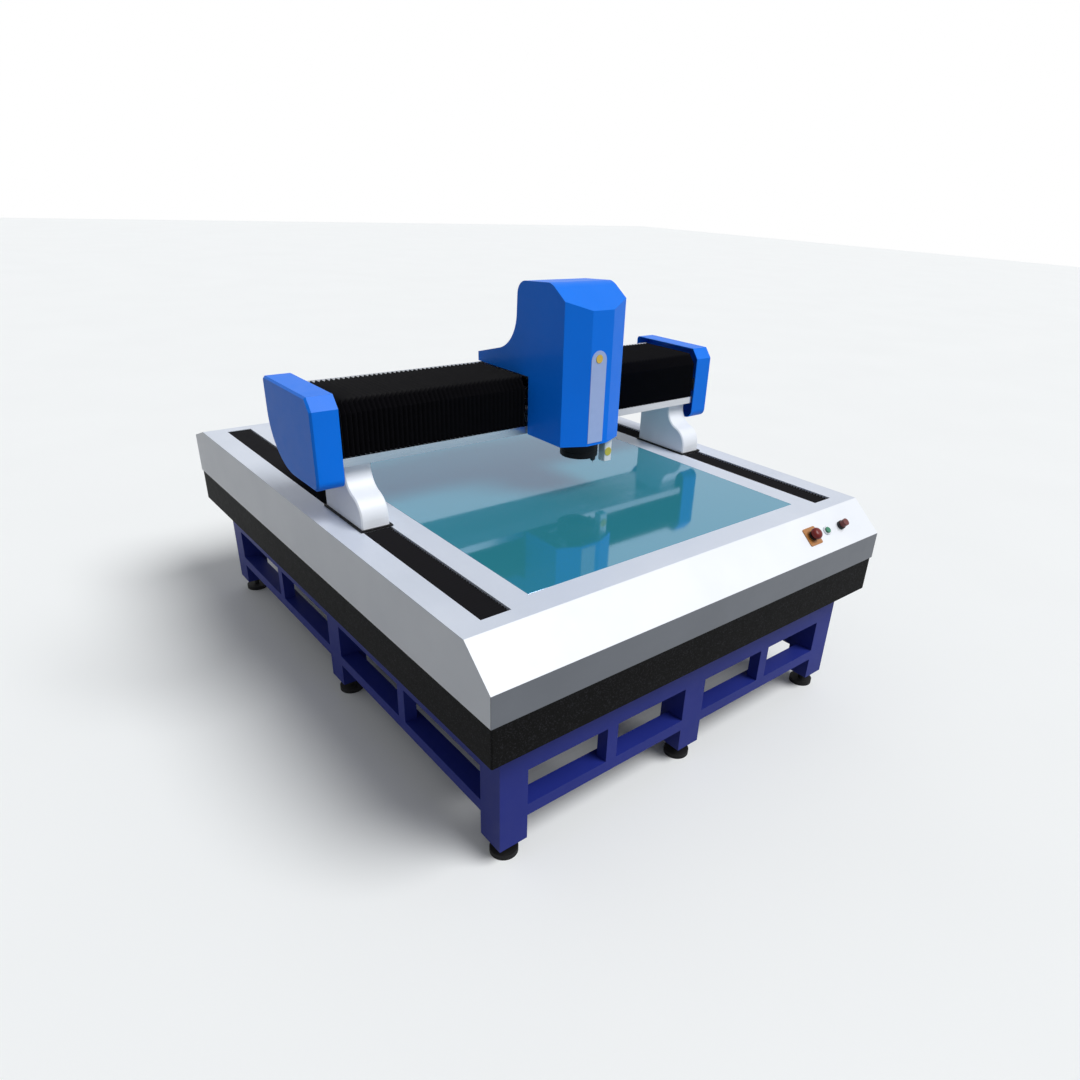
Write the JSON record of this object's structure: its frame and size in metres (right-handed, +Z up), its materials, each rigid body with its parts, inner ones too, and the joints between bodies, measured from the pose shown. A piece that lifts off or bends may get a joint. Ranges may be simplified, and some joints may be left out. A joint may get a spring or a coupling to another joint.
{
  "type": "coordinate measuring machine",
  "caption": "Moving-bridge optical coordinate measuring machine: granite bed on a steel stand, glass stage, travelling bridge with a sliding head that lowers its lens.",
  "frame": {"origin": "floor level below the middle of the covers, the middle of the bounding box's underside", "axes": "+X to the right along the operator's side, +Y from the operator's side to the rear, +Z up"},
  "size_m": [1.628, 2.116, 1.386],
  "materials": {
    "white_paint": "fine powder coat, satin",
    "blue_paint": "smooth lacquer, gloss",
    "stand_paint": "powder coat, satin",
    "deck_paint": "powder coat, satin",
    "skirt_paint": "powder coat, satin",
    "granite": "ground, satin",
    "float_glass": "polished",
    "black_rubber": "matt",
    "bellows_fabric": "coated, semi-gloss",
    "rail_steel": "ground",
    "aluminium_anodised": "satin anodised",
    "aluminium_machined": "machined",
    "black_anodised": "satin anodised",
    "black_plastic": "matt",
    "magnet_epoxy": "matt",
    "probe_steel": "polished",
    "label_film": "satin",
    "badge_brass": "satin",
    "yellow_plastic": "satin",
    "estop_plate_paint": "matt",
    "estop_red": "satin",
    "green_plastic": "satin",
    "dark_red_plastic": "satin",
    "white_plastic": "satin"
  },
  "bodies": {
    "base": {"stand_legs": "stand_paint", "stand_top_rails": "stand_paint", "stand_lower_frame": "stand_paint", "levelling_feet": "black_rubber", "granite_base": "granite", "y_rails": "rail_steel", "y_magnet_tracks": "magnet_epoxy", "y_bumpers": "black_rubber", "side_panels": "white_paint", "front_skirt": "skirt_paint", "front_apron": "white_paint", "rear_panel": "white_paint", "deck_rim": "deck_paint", "deck_inner": "deck_paint", "cover_brackets": "aluminium_machined", "stage_frame": "aluminium_machined", "stage_glass": "float_glass", "motion_controller": "black_anodised", "estop_plate": "estop_plate_paint", "control_bodies": "black_plastic", "slot_bellows_front": "bellows_fabric", "slot_bellows_rear": "bellows_fabric"},
    "bridge": {"bridge_legs": "white_paint", "foot_plates": "aluminium_machined", "foot_wipers": "black_rubber", "y_bearing_blocks": "rail_steel", "y_forcers": "black_plastic", "lower_crossbeam": "aluminium_machined", "bridge_beam": "aluminium_machined", "beam_end_plates": "aluminium_machined", "end_caps": "blue_paint", "beam_strip": "aluminium_anodised", "beam_rear_cover": "white_paint", "x_rails": "rail_steel", "x_magnet_track": "magnet_epoxy", "beam_bellows_left": "bellows_fabric", "beam_bellows_right": "bellows_fabric"},
    "head": {"x_bearing_blocks": "rail_steel", "x_forcer": "black_plastic", "x_saddle": "aluminium_machined", "head_cover": "blue_paint", "label_strip": "label_film", "label_badge": "badge_brass", "z_rails": "rail_steel", "z_motor": "black_anodised"},
    "optics": {"z_slide": "aluminium_machined", "z_bearing_blocks": "rail_steel", "z_nut": "rail_steel", "zoom_lens": "black_anodised", "camera": "black_anodised", "ring_light": "black_anodised", "touch_probe": "probe_steel", "laser_module": "white_plastic", "laser_cap": "yellow_plastic"},
    "screw": {"z_screw": "rail_steel"},
    "backlight": {"backlight": "black_anodised"},
    "estop_stem": {"estop_stem": "black_plastic"},
    "estop_mushroom": {"estop_mushroom": "estop_red"},
    "start_button": {"start_button": "green_plastic"},
    "power_knob": {"power_switch_knob": "dark_red_plastic"}
  },
  "joints": [
    {"name": "bridge_slide", "type": "slide", "parent": "base", "child": "bridge", "axis": [0, 1, 0], "range_m": [-0.44, 0.76], "deforming": ["slot_bellows_front", "slot_bellows_rear"]},
    {"name": "head_slide", "type": "slide", "parent": "bridge", "child": "head", "axis": [1, 0, 0], "range_m": [-0.49, 0.41], "deforming": ["beam_bellows_left", "beam_bellows_right"]},
    {"name": "optics_lift", "type": "slide", "parent": "head", "child": "optics", "axis": [0, 0, 1], "range_m": [-0.09, 0.11]},
    {"name": "screw_turn", "type": "hinge", "parent": "head", "child": "screw", "pos_m": [0.04, -0.234, 1], "axis": [0, 0, 1], "range_deg": [-3260, 3980]},
    {"name": "backlight_slide", "type": "slide", "parent": "bridge", "child": "backlight", "axis": [1, 0, 0], "range_m": [-0.495, 0.415]},
    {"name": "estop_press", "type": "slide", "parent": "base", "child": "estop_stem", "axis": [0, 0.6605, -0.7509], "range_m": [0, 0.006]},
    {"name": "estop_twist", "type": "hinge", "parent": "estop_stem", "child": "estop_mushroom", "pos_m": [0.48, -1.00394, 0.67255], "axis": [0, -0.6605, 0.7509], "range_deg": [-45, 0], "stiffness_Nm_per_rad": 0.05},
    {"name": "start_press", "type": "slide", "parent": "base", "child": "start_button", "axis": [0, 0.6605, -0.7509], "range_m": [0, 0.003], "stiffness_N_per_m": 600, "springref_m": -0.001},
    {"name": "power_turn", "type": "hinge", "parent": "base", "child": "power_knob", "pos_m": [0.64, -1.00394, 0.67255], "axis": [0, -0.6605, 0.7509], "range_deg": [-90, 0]}
  ],
  "couplings": [
    {"joint": "screw_turn", "follows": "optics_lift", "rad_per_m": 628.32},
    {"joint": "backlight_slide", "follows": "head_slide", "ratio": 1}
  ]
}
